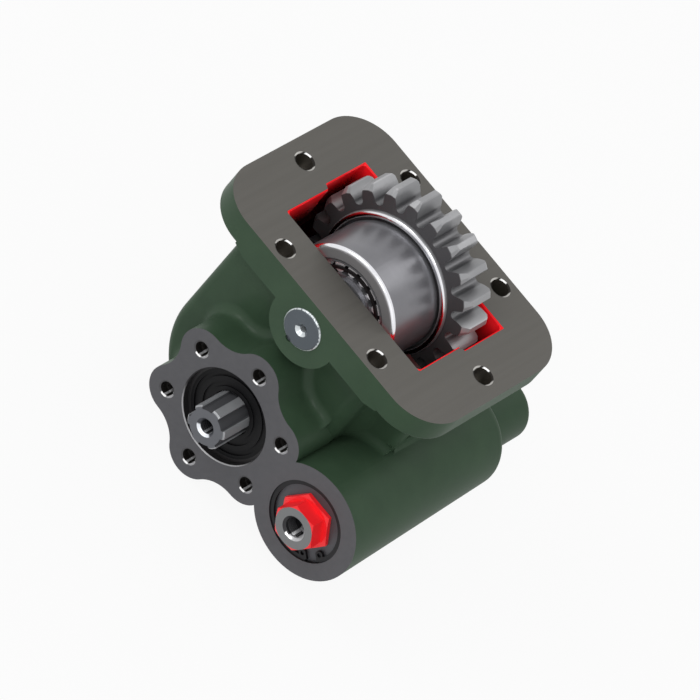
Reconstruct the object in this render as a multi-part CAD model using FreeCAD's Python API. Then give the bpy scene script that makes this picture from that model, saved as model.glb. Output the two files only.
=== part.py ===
import FreeCAD, Part
import math
import os

# Power take off unit. Millimetres. The origin is the centre of the gearbox bolt pattern on the
# flange face. +Z points out of that face, X runs along the flange and both shafts run along Y.
# The pump flange and the air cylinder's cap look towards -Y.

# Gear train: the input gear idles on a fixed shaft and drives the sliding gear below it
gear_module = 4.75
pressure_angle = math.radians(20)
backlash = 0.30
dedendum_share = 1.25
input_teeth = 21
sliding_teeth = 14
idler_z = -18.0
input_face_y = 7.0
input_rear_y = 29.0
input_pitch_r = gear_module * input_teeth / 2
input_tip_r = input_pitch_r + gear_module
sliding_pitch_r = gear_module * sliding_teeth / 2
sliding_tip_r = sliding_pitch_r + gear_module
output_z = idler_z - input_pitch_r - sliding_pitch_r

# Engagement chamfer on the front tips and the round run-out of the teeth at the rear
chamfer_depth = 3.0
chamfer_length = 4.5
runout_length = 2.5
runout_depth = 2.0
runout_knee_length = 1.2
runout_knee_depth = 0.5

# Corner facet on one flank of each front tip: its height above the middle of the tooth, and its slopes
facet_front_r = 51.9
facet_flank_slope = 0.34
facet_length_slope = 0.645
facet_reach = 8.0

# Fits, as radial gaps
press_gap = 0.02
running_gap = 0.05
face_gap = 0.05

# Gearbox flange
flange_length = 176.0
flange_width = 130.0
flange_corner_r = 28.0
flange_edge_t = 15.7
flange_pad_t = 18.5
flange_pad_half = 50.0
flange_pad_ramp = 8.0
flange_lower_edge_r = 2.0
flange_hole_r = 5.4
flange_hole_chamfer = 0.5
flange_hole_chamfer_run = 1.0
flange_end_hole_inset = 13.4
flange_end_hole_x = flange_length / 2 - flange_end_hole_inset
flange_corner_hole_x = 38.0
flange_corner_hole_inset = 10.0
flange_corner_hole_y = flange_width / 2 - flange_corner_hole_inset
bolt_relief_r = 11.0
bolt_relief_depth = 48.0

# Gearbox window: wide behind, over the teeth, and narrower in front, over the drum. Beside the drum
# it goes down in two pockets, and a shelf closes the right one in front.
tooth_clearance = 2.875
window_front_y = -35.3
window_rear_y = 35.5
window_half_rear = input_tip_r + tooth_clearance
window_step = 3.0
window_half_front = window_half_rear - window_step
window_step_y = 0.0
window_step_run = 1.5
window_corner_r = 2.5
window_chamfer = 0.8
window_shelf_z = -13.5
pocket_floor_z = -60.0
drum_chamber_r = 41.0

# Housing body
front_wall_y = -42.0
step_wall_y = -20.0
rear_wall_y = 44.0
window_side_wall_t = 6.0
body_left_x = -(window_half_rear + window_side_wall_t)
sump_flat_left = 9.0
sump_flat_right = 14.5
sump_r = -body_left_x - sump_flat_left
sump_centre_z = -97.0
body_right_x = sump_r + sump_flat_right
bulge_right_x = 45.0
step_outer_r = 8.0
step_hollow_r = 8.0
body_edge_r = 5.0
wall_fillet = 5.0
side_wall_t = 7.0
cavity_right_wall_t = 11.0
cavity_front_y = -19.0
cavity_right_x = body_right_x - cavity_right_wall_t
cavity_bulge_x = 41.0
cavity_top_z = -36.0
fork_chamber_front_y = -12.0

# Idler shaft, its boss in front and its boss behind
idler_shaft_r = 12.0
idler_boss_r = 22.2
idler_boss_y = -65.0
idler_shaft_front_y = -66.5
idler_rear_boss_r = 20.0
idler_rear_boss_y = 53.0
idler_rear_boss_edge_r = 3.0
idler_shaft_rear_y = 49.0
shaft_chamfer = 1.0
lock_pin_r = 2.2
lock_pin_length = 14.0
lock_pin_angle = math.radians(-102)
centre_drill_r = 2.0
centre_drill_depth = 7.0

# Drum of the input gear
drum_r = 36.2
drum_front_y = -34.3
drum_front_round = 2.5
drum_rear_round = 1.0
hub_chamfer = 1.2
drum_bore_r = 28.0
drum_bore_chamfer = 1.0
drum_shoulder_r = 26.0
hub_rear_r = 36.2
hub_rear_y = 34.2
neck_r = 35.2
neck_front_y = 5.4
neck_rear_y = 9.6
neck_groove_r = 37.9
bead_r = 41.2
bead_front_y = 4.4
bead_round = 2.4

# Roller bearings in the drum
roller_r = 3.1
roller_pitch_r = 23.6
roller_count = 18
roller_length = 11.0
roller_bearing_width = 15.0
bearing_inset = 0.8
cage_wall = 1.6
cage_half_depth = 0.8
roller_pocket_gap = 0.15
spacer_r = 16.0
washer_r = 19.0

# Pump flange: six lobes joined by hollow arcs
pump_face_y = -67.1
pump_holes = 6
pump_pcd = 77.0
pump_hole_r = 4.2
pump_hole_depth = 20.0
pump_hole_chamfer = 0.5
pump_hole_chamfer_run = 0.9
lobe_inset = 3.1
lobe_centre_r = pump_pcd / 2 - lobe_inset
lobe_r = 15.0
valley_r = 21.0
pump_flare_r = 6.0
pump_flare_end = 2.5
pilot_r = 27.7
pilot_depth = 5.1
pilot_chamfer = 0.7

# Output shaft, from the pump end to the rear
spline_teeth = 6
spline_tip_r = 12.5
spline_root_r = 10.5
spline_tooth = 5.0
spline_front_y = -83.0
spline_rear_y = -56.0
journal_r = 12.5
collar_r = 18.5
collar_length = 11.0
slide_tip_r = 17.0
slide_root_r = 14.5
slide_tooth = 6.0
shaft_rear_y = 54.5
tapped_end_r = 4.2
tapped_end_chamfer = 1.5
tapped_end_depth = 20.0

# Output bearings, both of one size, and the seal in front of them
bearing_r = 26.0
bearing_width = 15.0
front_bearing_rear_y = -35.0
rear_bearing_front_y = 36.0
ring_share = 0.30
shield_t = 1.5
shield_inset = 0.6
shaft_hole_r = 24.0
seal_width = 10.0
seal_front_y = pump_face_y + pilot_depth
seal_band = 2.5
seal_plate_t = 3.0
seal_mouth_gap = 0.5
seal_rings = ((15.5, 0.6), (18.5, 1.4), (21.5, 0.4), (24.0, 1.2))
seal_arm_root = 6.5
seal_arm_tip = 2.5
seal_arm_t = 3.0
seal_lip_land = 1.0
circlip_t = 1.6
circlip_groove = 1.2
circlip_gap = 0.08
circlip_gap_half_angle = math.radians(12)

# Rear cover
cover_bolt_clearance = 6.5
cover_bolt_inset = 5.5
cover_bolt_r = bearing_r + cover_bolt_clearance
cover_r = cover_bolt_r + cover_bolt_inset
cover_seat_y = 51.0
cover_t = 8.0
cover_recess_r = 20.0
cover_recess = 5.0
cover_bolts = 4
cover_screw_r = 3.0
cover_screw_length = 14.0
cover_head_r = 5.0
cover_head_t = 6.0
cover_socket_r = 2.6
cover_socket_depth = 3.5

# Sliding gear
sliding_face_y = 7.0
sliding_tooth_width = 17.0
sliding_hub_r = 25.0
sliding_hub_rear_y = 34.5
fork_groove_r = 20.0
fork_groove_front_y = 26.5
fork_groove_width = 5.5
fork_side_gap = 0.4

# Air cylinder, beside the output shaft
cylinder_x = 70.7
cylinder_z = -104.0
cylinder_r = 33.9
cylinder_taper = math.radians(1.1)
cylinder_rear_y = 72.0
cylinder_rear_edge_r = 6.0
cylinder_bore_r = 23.8
cylinder_bore_rear_y = -20.0
fork_chamber_r = 22.0
fork_chamber_rear_y = 44.0
spring_boss_r = 19.5
spring_boss_y = 112.0
spring_boss_edge_r = 4.0
spring_bore_r = 12.6
spring_bore_front_y = 52.0
spring_bore_rear_y = 104.0
cylinder_flare = 5.0

# Piston, rod and spring
piston_front_y = -33.0
piston_width = 12.0
piston_seal_width = 4.0
piston_seal_depth = 2.6
piston_recess_r = 11.5
piston_recess = 6.0
rod_r = 7.0
rod_end_r = 5.0
rod_end_chamfer = 0.5
rod_rear_y = 84.0
rod_seal_r = 9.6
rod_seal_width = 3.0
rod_seal_front_y = (cylinder_bore_rear_y + fork_chamber_front_y - rod_seal_width) / 2
rod_nut_across = 17.0
collar_front_y = 78.0
spring_collar_t = 3.0
spring_collar_r = 11.8
spring_wire = 2.4
spring_wire_width = 3.0
spring_mean_r = 9.8
spring_coils = 5

# Shift fork
fork_outer_r = 26.5
fork_hub_r = 13.0
fork_hub_front_y = 25.0
fork_hub_rear_y = 40.0
fork_arm_half = 9.0
fork_screw_r = 3.0

# Cap end of the air cylinder
cap_face_y = -64.7
cap_t = 4.0
cap_seal_width = 2.0
cap_seal_depth = 1.6
cap_clip_inner_r = 21.2
cap_clip_groove = 1.2
cap_clip_angle = math.radians(-42)
cap_clip_gap = 9.0
cap_clip_ear = 4.6
cap_clip_ear_width = 4.6
cap_clip_ear_round = 1.8
cap_clip_ear_overlap = 1.15
cap_clip_hole_r = 1.2
nut_across = 29.5
nut_t = 2.8
fitting_across = 24.0
fitting_front_y = -77.0
fitting_bore_r = 5.9
fitting_bore_chamfer = 1.4
fitting_bore_depth = 13.0
fitting_stem_r = 6.5
fitting_air_r = 2.0
hex_chamfer = 0.8

Vec = FreeCAD.Vector
ALONG_Y = Vec(0, 1, 0)
idler = (0.0, idler_z)
output = (0.0, output_z)
cylinder = (cylinder_x, cylinder_z)


def bar(radius, y0, y1, axis=(0.0, 0.0)):
    """Round bar along Y between two planes."""
    return Part.makeCylinder(radius, y1 - y0, Vec(axis[0], y0, axis[1]), ALONG_Y)


def ring(outer, inner, y0, y1, axis=(0.0, 0.0)):
    """Round ring along Y between two planes."""
    return bar(outer, y0, y1, axis).cut(bar(inner, y0, y1, axis))


def block(x0, x1, y0, y1, z0, z1):
    """Block between pairs of planes."""
    return Part.makeBox(x1 - x0, y1 - y0, z1 - z0, Vec(x0, y0, z0))


def turned(corners, axis=(0.0, 0.0)):
    """Solid turned about an axis along Y from (radius, y) corners."""
    points = [Vec(axis[0] + radius, y, axis[1]) for radius, y in corners]
    face = Part.Face(Part.makePolygon(points + points[:1]))
    return face.revolve(Vec(axis[0], 0, axis[1]), ALONG_Y, 360)


def polar(radius, angle, axis=(0.0, 0.0)):
    """Point in the XZ plane, by radius and angle from +X towards +Z."""
    return (axis[0] + radius * math.cos(angle), axis[1] + radius * math.sin(angle))


def line(start, end):
    """Straight edge in the XZ plane."""
    return Part.makeLine(Vec(start[0], 0, start[1]), Vec(end[0], 0, end[1]))


def arc(start, middle, end):
    """Arc in the XZ plane through three points."""
    points = [Vec(p[0], 0, p[1]) for p in (start, middle, end)]
    return Part.Arc(*points).toShape()


def prism(edges, y0, y1):
    """Solid along Y from closed edges in the XZ plane."""
    face = Part.Face(Part.Wire(edges))
    face.translate(Vec(0, y0, 0))
    return face.extrude(Vec(0, y1 - y0, 0))


def hexagon(across, y0, y1, axis):
    """Hexagonal bar along Y, with one corner towards +X."""
    corner_r = across / 2 / math.cos(math.pi / 6)
    corners = [polar(corner_r, k * math.pi / 3, axis) for k in range(6)]
    edges = [line(corners[k - 1], corners[k]) for k in range(6)]
    return prism(edges, y0, y1)


def hex_nut(across, y0, y1, axis):
    """Hexagonal bar with its front corners turned off."""
    corner_r = across / 2 / math.cos(math.pi / 6)
    flat_r = across / 2
    envelope = turned([(0, y0), (flat_r, y0), (corner_r, y0 + hex_chamfer), (corner_r, y1), (0, y1)], axis)
    return hexagon(across, y0, y1, axis).common(envelope)


def around(shape, count, axis, first=0.0):
    """Copies of a shape, evenly turned about an axis along Y, the first one by an angle."""
    copies = []
    for k in range(count):
        copy = shape.copy()
        copy.rotate(Vec(axis[0], 0, axis[1]), ALONG_Y, -(first + 360.0 * k / count))
        copies.append(copy)
    return copies


def fused(shapes):
    """One solid from several that meet."""
    return shapes[0].multiFuse(shapes[1:]).removeSplitter()


def edges_where(shape, test):
    """Edges whose middle point passes a test."""
    return [e for e in shape.Edges if test(e.valueAt((e.FirstParameter + e.LastParameter) / 2), e)]


def save(name, shape):
    """Write one node."""
    shape.exportStep("parts/" + name + ".step")


def involute(angle):
    """Involute function of a pressure angle."""
    return math.tan(angle) - angle


def tooth_half_angle(teeth, radius):
    """Half of a tooth's angle at a radius, thinned for backlash."""
    pitch_r = gear_module * teeth / 2
    base_r = pitch_r * math.cos(pressure_angle)
    at_pitch = math.pi / (2 * teeth) - backlash / (4 * pitch_r)
    return at_pitch + involute(pressure_angle) - involute(math.acos(min(1.0, base_r / radius)))


def toothed_disc(teeth, first_angle, y0, y1, axis):
    """Involute spur gear with full round roots, one tooth centred on the first angle."""
    pitch_r = gear_module * teeth / 2
    base_r = pitch_r * math.cos(pressure_angle)
    tip_r = pitch_r + gear_module
    root_r = pitch_r - dedendum_share * gear_module
    middle_r = (base_r + tip_r) / 2
    step = 2 * math.pi / teeth
    at_base = tooth_half_angle(teeth, base_r)
    at_middle = tooth_half_angle(teeth, middle_r)
    at_tip = tooth_half_angle(teeth, tip_r)
    edges = []
    for k in range(teeth):
        centre = first_angle + k * step
        near = [polar(base_r, centre - at_base, axis), polar(middle_r, centre - at_middle, axis)]
        near.append(polar(tip_r, centre - at_tip, axis))
        far = [polar(tip_r, centre + at_tip, axis), polar(middle_r, centre + at_middle, axis)]
        far.append(polar(base_r, centre + at_base, axis))
        following = polar(base_r, centre + step - at_base, axis)
        edges.append(arc(*near))
        edges.append(arc(near[2], polar(tip_r, centre, axis), far[0]))
        edges.append(arc(*far))
        edges.append(arc(far[2], polar(root_r, centre + step / 2, axis), following))
    return prism(edges, y0, y1)


# Housing

def flange():
    """Gearbox flange: a round cornered plate, thicker across the middle."""
    half_x = flange_length / 2
    half_y = flange_width / 2
    plate = block(-half_x, half_x, -half_y, half_y, -flange_edge_t, 0)
    corners = edges_where(plate, lambda p, e: abs(p.z + flange_edge_t / 2) < 0.1)
    plate = plate.makeFillet(flange_corner_r, corners)
    lower = edges_where(plate, lambda p, e: abs(p.z + flange_edge_t) < 0.01)
    plate = plate.makeFillet(flange_lower_edge_r, lower)
    outer = flange_pad_half + flange_pad_ramp
    top = -flange_edge_t / 2
    corners = [(-outer, top), (-outer, -flange_edge_t), (-flange_pad_half, -flange_pad_t)]
    corners += [(-x, z) for x, z in reversed(corners)]
    edges = [line(corners[k - 1], corners[k]) for k in range(len(corners))]
    return plate.fuse(prism(edges, -half_y, half_y))


def sump_outline(left_x, right_x, top_z, radius):
    """Upright outline with a straight top and both lower corners rounded."""
    left_centre_x = left_x + radius
    right_centre_x = right_x - radius
    bottom_z = sump_centre_z - radius
    reach = radius * math.sqrt(0.5)
    left_middle = (left_centre_x - reach, sump_centre_z - reach)
    right_middle = (right_centre_x + reach, sump_centre_z - reach)
    return [
        line((left_x, top_z), (left_x, sump_centre_z)),
        arc((left_x, sump_centre_z), left_middle, (left_centre_x, bottom_z)),
        line((left_centre_x, bottom_z), (right_centre_x, bottom_z)),
        arc((right_centre_x, bottom_z), right_middle, (right_x, sump_centre_z)),
        line((right_x, sump_centre_z), (right_x, top_z)),
        line((right_x, top_z), (left_x, top_z)),
    ]


def quarter(corner_x, corner_y, start, end):
    """Quarter round in the XY plane between two points, bulging towards a corner."""
    centre_x = start[0] + end[0] - corner_x
    centre_y = start[1] + end[1] - corner_y
    share = math.sqrt(0.5)
    middle = (centre_x + share * (corner_x - centre_x), centre_y + share * (corner_y - centre_y))
    return Part.Arc(*[Vec(x, y, 0) for x, y in (start, middle, end)]).toShape()


def step_tool():
    """What the step takes off the right side, with both outer edges round and the corner hollow."""
    far_x = body_right_x + 1
    near_y = front_wall_y - 1
    corners = [
        (far_x, near_y), (bulge_right_x - step_outer_r, near_y),
        (bulge_right_x - step_outer_r, front_wall_y),
        (bulge_right_x, front_wall_y + step_outer_r), (bulge_right_x, step_wall_y - step_hollow_r),
        (bulge_right_x + step_hollow_r, step_wall_y), (body_right_x - body_edge_r, step_wall_y),
        (body_right_x, step_wall_y + body_edge_r), (far_x, step_wall_y + body_edge_r),
    ]
    rounds = {
        2: (bulge_right_x, front_wall_y),
        4: (bulge_right_x, step_wall_y),
        6: (body_right_x, step_wall_y),
    }
    edges = []
    for k, start in enumerate(corners):
        end = corners[(k + 1) % len(corners)]
        if k in rounds:
            edges.append(quarter(*rounds[k], start, end))
        else:
            edges.append(Part.makeLine(Vec(*start, 0), Vec(*end, 0)))
    face = Part.Face(Part.Wire(edges))
    return face.extrude(Vec(0, 0, sump_centre_z - sump_r - 1))


def body():
    """Gear chamber casting with a round sump, stepped back on its right side."""
    top_z = -flange_edge_t / 2
    casting = prism(sump_outline(body_left_x, body_right_x, top_z, sump_r), front_wall_y, rear_wall_y)
    for wall_y in (front_wall_y, rear_wall_y):
        outline = edges_where(casting, lambda p, e: abs(p.y - wall_y) < 0.01 and p.z < top_z - 1)
        casting = casting.makeFillet(body_edge_r, outline)
    return casting.cut(step_tool())


def star_edges():
    """Outline of the pump flange: each lobe's arc, then the hollow arc that is tangent to it."""
    step = 2 * math.pi / pump_holes
    reach = lobe_r + valley_r
    valley_centre_r = lobe_centre_r * math.cos(step / 2)
    valley_centre_r += math.sqrt(reach ** 2 - (lobe_centre_r * math.sin(step / 2)) ** 2)
    share = lobe_r / reach
    edges = []
    for k in range(pump_holes):
        angle = (k + 0.5) * step
        lobe = polar(lobe_centre_r, angle, output)
        joints = []
        for side in (-0.5, 0.5, 1.5):
            from_lobe = lobe if side < 1 else polar(lobe_centre_r, angle + step, output)
            valley = polar(valley_centre_r, angle + min(side, 0.5) * step, output)
            joints.append(tuple(a + share * (b - a) for a, b in zip(from_lobe, valley)))
        edges.append(arc(joints[0], polar(lobe_centre_r + lobe_r, angle, output), joints[1]))
        valley_middle = polar(valley_centre_r - valley_r, angle + step / 2, output)
        edges.append(arc(joints[1], valley_middle, joints[2]))
    return edges


def pump_flange():
    """Star shaped boss that runs back to the front wall and flares out where it meets it."""
    star = prism(star_edges(), pump_face_y, front_wall_y + body_edge_r)
    slab_half = lobe_centre_r + lobe_r + 4 * pump_flare_r
    slab = block(-slab_half, slab_half, front_wall_y, front_wall_y + 1,
                 output_z - slab_half, output_z + slab_half)
    flared = star.fuse(slab)

    def foot(p, e):
        inside = math.hypot(p.x, p.z - output_z) < lobe_centre_r + lobe_r + 1
        return abs(p.y - front_wall_y) < 0.01 and inside

    flared = flared.makeFillet(pump_flare_r, edges_where(flared, foot))
    clip = block(body_left_x, bulge_right_x - step_outer_r + pump_flare_end, pump_face_y, front_wall_y,
                 sump_centre_z - sump_r + body_edge_r, 0)
    return flared.common(clip).fuse(star)


def flare(radius, fillet, y, axis):
    """Hollow corner between a round boss and a wall behind it."""
    start = Vec(axis[0] + radius - 1, y + 1, axis[1])
    outer = Vec(axis[0] + radius + fillet, y, axis[1])
    tip = Vec(axis[0] + radius, y - fillet, axis[1])
    middle_share = fillet * (1 - math.sqrt(0.5))
    middle = Vec(axis[0] + radius + middle_share, y - middle_share, axis[1])
    edges = [
        Part.makeLine(start, Vec(outer.x, y + 1, axis[1])),
        Part.makeLine(Vec(outer.x, y + 1, axis[1]), outer),
        Part.Arc(outer, middle, tip).toShape(),
        Part.makeLine(tip, Vec(start.x, tip.y, axis[1])),
        Part.makeLine(Vec(start.x, tip.y, axis[1]), start),
    ]
    face = Part.Face(Part.Wire(edges))
    return face.revolve(Vec(axis[0], 0, axis[1]), ALONG_Y, 360)


def idler_bosses():
    """Front and rear bosses of the idler shaft, cut off at the flange."""
    front = bar(idler_boss_r, idler_boss_y, front_wall_y + 1, idler)
    front = front.fuse(flare(idler_boss_r, wall_fillet, front_wall_y, idler))
    rear = bar(idler_rear_boss_r, rear_wall_y - 1, idler_rear_boss_y, idler)
    edge = edges_where(rear, lambda p, e: abs(p.y - idler_rear_boss_y) < 0.01)
    rear = rear.makeFillet(idler_rear_boss_edge_r, edge)
    reach = idler_boss_r + wall_fillet + 1
    below = block(-reach, reach, idler_boss_y - 1, idler_rear_boss_y + 1, output_z, 0)
    return front.fuse(rear).common(below)


def under_flange_fillet():
    """Hollow corner between the front wall and the underside of the flange."""
    strip = block(body_left_x + body_edge_r, bulge_right_x - step_outer_r,
                  front_wall_y - wall_fillet, front_wall_y + 1, -flange_pad_t - wall_fillet, -flange_edge_t)
    end = Vec(-flange_length / 2, front_wall_y - wall_fillet, -flange_pad_t - wall_fillet)
    hollow = Part.makeCylinder(wall_fillet, flange_length, end, Vec(1, 0, 0))
    return strip.cut(hollow)


def cylinder_outer():
    """Air cylinder: a slightly tapered barrel, with the spring's boss behind it."""
    length = cylinder_rear_y - pump_face_y
    rear_r = cylinder_r - length * math.tan(cylinder_taper)
    barrel = Part.makeCone(cylinder_r, rear_r, length, Vec(cylinder_x, pump_face_y, cylinder_z), ALONG_Y)
    edge = edges_where(barrel, lambda p, e: abs(p.y - cylinder_rear_y) < 0.01)
    barrel = barrel.makeFillet(cylinder_rear_edge_r, edge)
    boss = bar(spring_boss_r, cylinder_rear_y - 1, spring_boss_y, cylinder)
    edge = edges_where(boss, lambda p, e: abs(p.y - spring_boss_y) < 0.01)
    boss = boss.makeFillet(spring_boss_edge_r, edge)
    step_r = cylinder_r - (step_wall_y - pump_face_y) * math.tan(cylinder_taper)
    corner = flare(step_r, cylinder_flare, step_wall_y, cylinder)
    reach = step_r + cylinder_flare + 1
    clip = block(bulge_right_x, body_right_x, step_wall_y - cylinder_flare, step_wall_y + 1,
                 cylinder_z - reach, cylinder_z + reach)
    return fused([barrel, boss, corner.common(clip)])


def side_fillet():
    """Hollow corner along the top of the barrel, where the side wall stands on it."""
    top = cylinder_z + cylinder_r - (rear_wall_y - pump_face_y) * math.tan(cylinder_taper)
    strip = block(body_right_x - 1, body_right_x + wall_fillet, step_wall_y + body_edge_r,
                  rear_wall_y - body_edge_r, top - wall_fillet, top + wall_fillet)
    hollow = bar(wall_fillet, step_wall_y, rear_wall_y, (body_right_x + wall_fillet, top + wall_fillet))
    return strip.cut(hollow)


def gearbox_window():
    """Opening in the flange, the slots for the teeth and the drum, and the pockets beside the drum."""
    front = window_half_front
    rear = window_half_rear
    step = window_step_y + window_step_run
    right = [(front, window_front_y), (front, window_step_y), (rear, step), (rear, window_rear_y)]
    corners = right + [(-x, y) for x, y in reversed(right)]
    points = [Vec(x, y, pocket_floor_z) for x, y in corners]
    face = Part.Face(Part.makePolygon(points + points[:1]))
    deep = face.extrude(Vec(0, 0, -pocket_floor_z + 1))
    uprights = edges_where(deep, lambda p, e: abs(p.z - (pocket_floor_z + 1) / 2) < 0.1)
    corner_ys = (window_front_y, window_rear_y)
    outer = [e for e in uprights if min(abs(e.valueAt(0).y - y) for y in corner_ys) < 0.1]
    deep = deep.makeFillet(window_corner_r, outer)
    shelf = deep.common(block(-rear, rear, window_front_y, window_rear_y, window_shelf_z, 1))
    left_pocket = deep.common(block(-front, 0, window_front_y, step, pocket_floor_z, 0))
    right_pocket = deep.common(block(0, front, cavity_front_y, step, pocket_floor_z, 0))
    mouth = []
    for spread in (0.0, window_chamfer * 2):
        right = [(front + spread, window_front_y - spread), (front + spread, window_step_y),
                 (rear + spread, step), (rear + spread, window_rear_y + spread)]
        corners = right + [(-x, y) for x, y in reversed(right)]
        points = [Vec(x, y, spread - window_chamfer) for x, y in corners]
        mouth.append(Part.makePolygon(points + points[:1]))
    chamfer = Part.makeLoft(mouth, True, True)
    gear_slot = block(-rear, rear, step, window_rear_y, idler_z, window_shelf_z + 1)
    gear_slot = gear_slot.fuse(bar(rear, step, window_rear_y, idler))
    drum_slot = block(-drum_chamber_r, drum_chamber_r, window_front_y, step, idler_z, window_shelf_z + 1)
    drum_slot = drum_slot.fuse(bar(drum_chamber_r, window_front_y, step, idler))
    below = block(-rear, rear, window_front_y, window_rear_y, output_z, window_shelf_z + 1)
    return [shelf, left_pocket, right_pocket, chamfer, gear_slot.common(below), drum_slot.common(below)]


def gear_cavity():
    """Space for the sliding gear and the fork, one wall's thickness inside the casting."""
    left_x = body_left_x + side_wall_t
    outline = sump_outline(left_x, cavity_right_x, cavity_top_z, sump_r - side_wall_t)
    space = prism(outline, cavity_front_y, window_rear_y)
    corner = block(cavity_bulge_x, cavity_right_x + 1, cavity_front_y - 1, fork_chamber_front_y,
                   sump_centre_z - sump_r, idler_z)
    return space.cut(corner)


def drilled(radius, run, chamfer, y_face, depth, axis):
    """Blind hole along +Y with a chamfered mouth."""
    wide = radius + run
    corners = [(0, y_face - 1), (wide, y_face - 1), (wide, y_face), (radius, y_face + chamfer)]
    corners += [(radius, y_face + depth), (0, y_face + depth)]
    return turned(corners, axis)


def flange_holes():
    """Six through holes with chamfered mouths, and the reliefs that let the end bolts in."""
    places = [(-flange_end_hole_x, 0), (flange_end_hole_x, 0)]
    places += [(x, y) for x in (-flange_corner_hole_x, flange_corner_hole_x)
               for y in (-flange_corner_hole_y, flange_corner_hole_y)]
    wide = flange_hole_r + flange_hole_chamfer_run
    cuts = []
    for x, y in places:
        cuts.append(Part.makeCylinder(flange_hole_r, flange_pad_t + 2, Vec(x, y, -flange_pad_t - 1)))
        cone_start = Vec(x, y, -flange_hole_chamfer)
        cuts.append(Part.makeCone(flange_hole_r, wide, flange_hole_chamfer, cone_start))
    relief_top = Vec(flange_end_hole_x, 0, -flange_edge_t - bolt_relief_depth)
    cuts.append(Part.makeCylinder(bolt_relief_r, bolt_relief_depth, relief_top))
    return cuts


def housing():
    """The casting with every bore, chamber and hole cut."""
    outer = fused([flange(), body(), pump_flange(), idler_bosses(), under_flange_fillet(),
                   cylinder_outer(), side_fillet(), bar(cover_r, rear_wall_y - 1, cover_seat_y, output)])
    cuts = gearbox_window() + [gear_cavity()] + flange_holes()
    cuts.append(bar(idler_shaft_r + press_gap, idler_boss_y - 1, idler_shaft_rear_y + 1, idler))
    pin = polar(idler_shaft_r, lock_pin_angle, idler)
    cuts.append(bar(lock_pin_r + press_gap, idler_boss_y - 1, idler_boss_y + lock_pin_length, pin))
    cuts.append(drilled(pilot_r, pilot_chamfer, pilot_chamfer, pump_face_y, pilot_depth, output))
    cuts.append(bar(bearing_r + press_gap, pump_face_y, front_bearing_rear_y, output))
    front_clip_y = front_bearing_rear_y - bearing_width - circlip_t
    cuts.append(bar(bearing_r + circlip_groove + circlip_gap, front_clip_y - circlip_gap,
                    front_clip_y + circlip_t, output))
    cuts.append(bar(shaft_hole_r, front_bearing_rear_y - 1, cavity_front_y + 1, output))
    cuts.append(bar(bearing_r + press_gap, window_rear_y - 1, cover_seat_y + 1, output))
    tapped = drilled(pump_hole_r, pump_hole_chamfer_run, pump_hole_chamfer, pump_face_y, pump_hole_depth,
                     (pump_pcd / 2, output_z))
    cuts += around(tapped, pump_holes, output, 180.0 / pump_holes)
    screw_hole = bar(cover_screw_r + press_gap, cover_seat_y - cover_screw_length + cover_t,
                     cover_seat_y + 1, (cover_bolt_r, output_z))
    cuts += around(screw_hole, cover_bolts, output, 180.0 / cover_bolts)
    cuts.append(bar(cylinder_bore_r, pump_face_y - 1, cylinder_bore_rear_y, cylinder))
    cuts.append(bar(cylinder_bore_r + cap_clip_groove, cap_face_y - circlip_t - circlip_gap,
                    cap_face_y, cylinder))
    cuts.append(bar(rod_r + running_gap, cylinder_bore_rear_y - 1, spring_bore_rear_y - 1, cylinder))
    cuts.append(bar(rod_seal_r + press_gap, rod_seal_front_y - face_gap,
                    rod_seal_front_y + rod_seal_width + face_gap, cylinder))
    cuts.append(bar(fork_chamber_r, fork_chamber_front_y, fork_chamber_rear_y, cylinder))
    cuts.append(bar(spring_bore_r, spring_bore_front_y, spring_bore_rear_y, cylinder))
    casting = outer
    for tool in cuts:
        casting = casting.cut(tool)
    return casting.removeSplitter()


# Input gear, idler shaft and what the gear runs on

def corner_facets():
    """Wedges that take one front corner off each tooth of the input gear."""
    def point(flank, back):
        height = facet_front_r + facet_flank_slope * flank + facet_length_slope * back
        return Vec(-flank, input_face_y + back, idler_z + height)

    flanks = (-facet_reach / 2, 1.0)
    backs = (-1.0, facet_reach)
    corners = [point(flanks[0], backs[0]), point(flanks[1], backs[0]),
               point(flanks[1], backs[1]), point(flanks[0], backs[1])]
    wedge = Part.Face(Part.makePolygon(corners + corners[:1])).extrude(Vec(0, 0, facet_reach))
    return around(wedge, input_teeth, idler)


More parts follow.
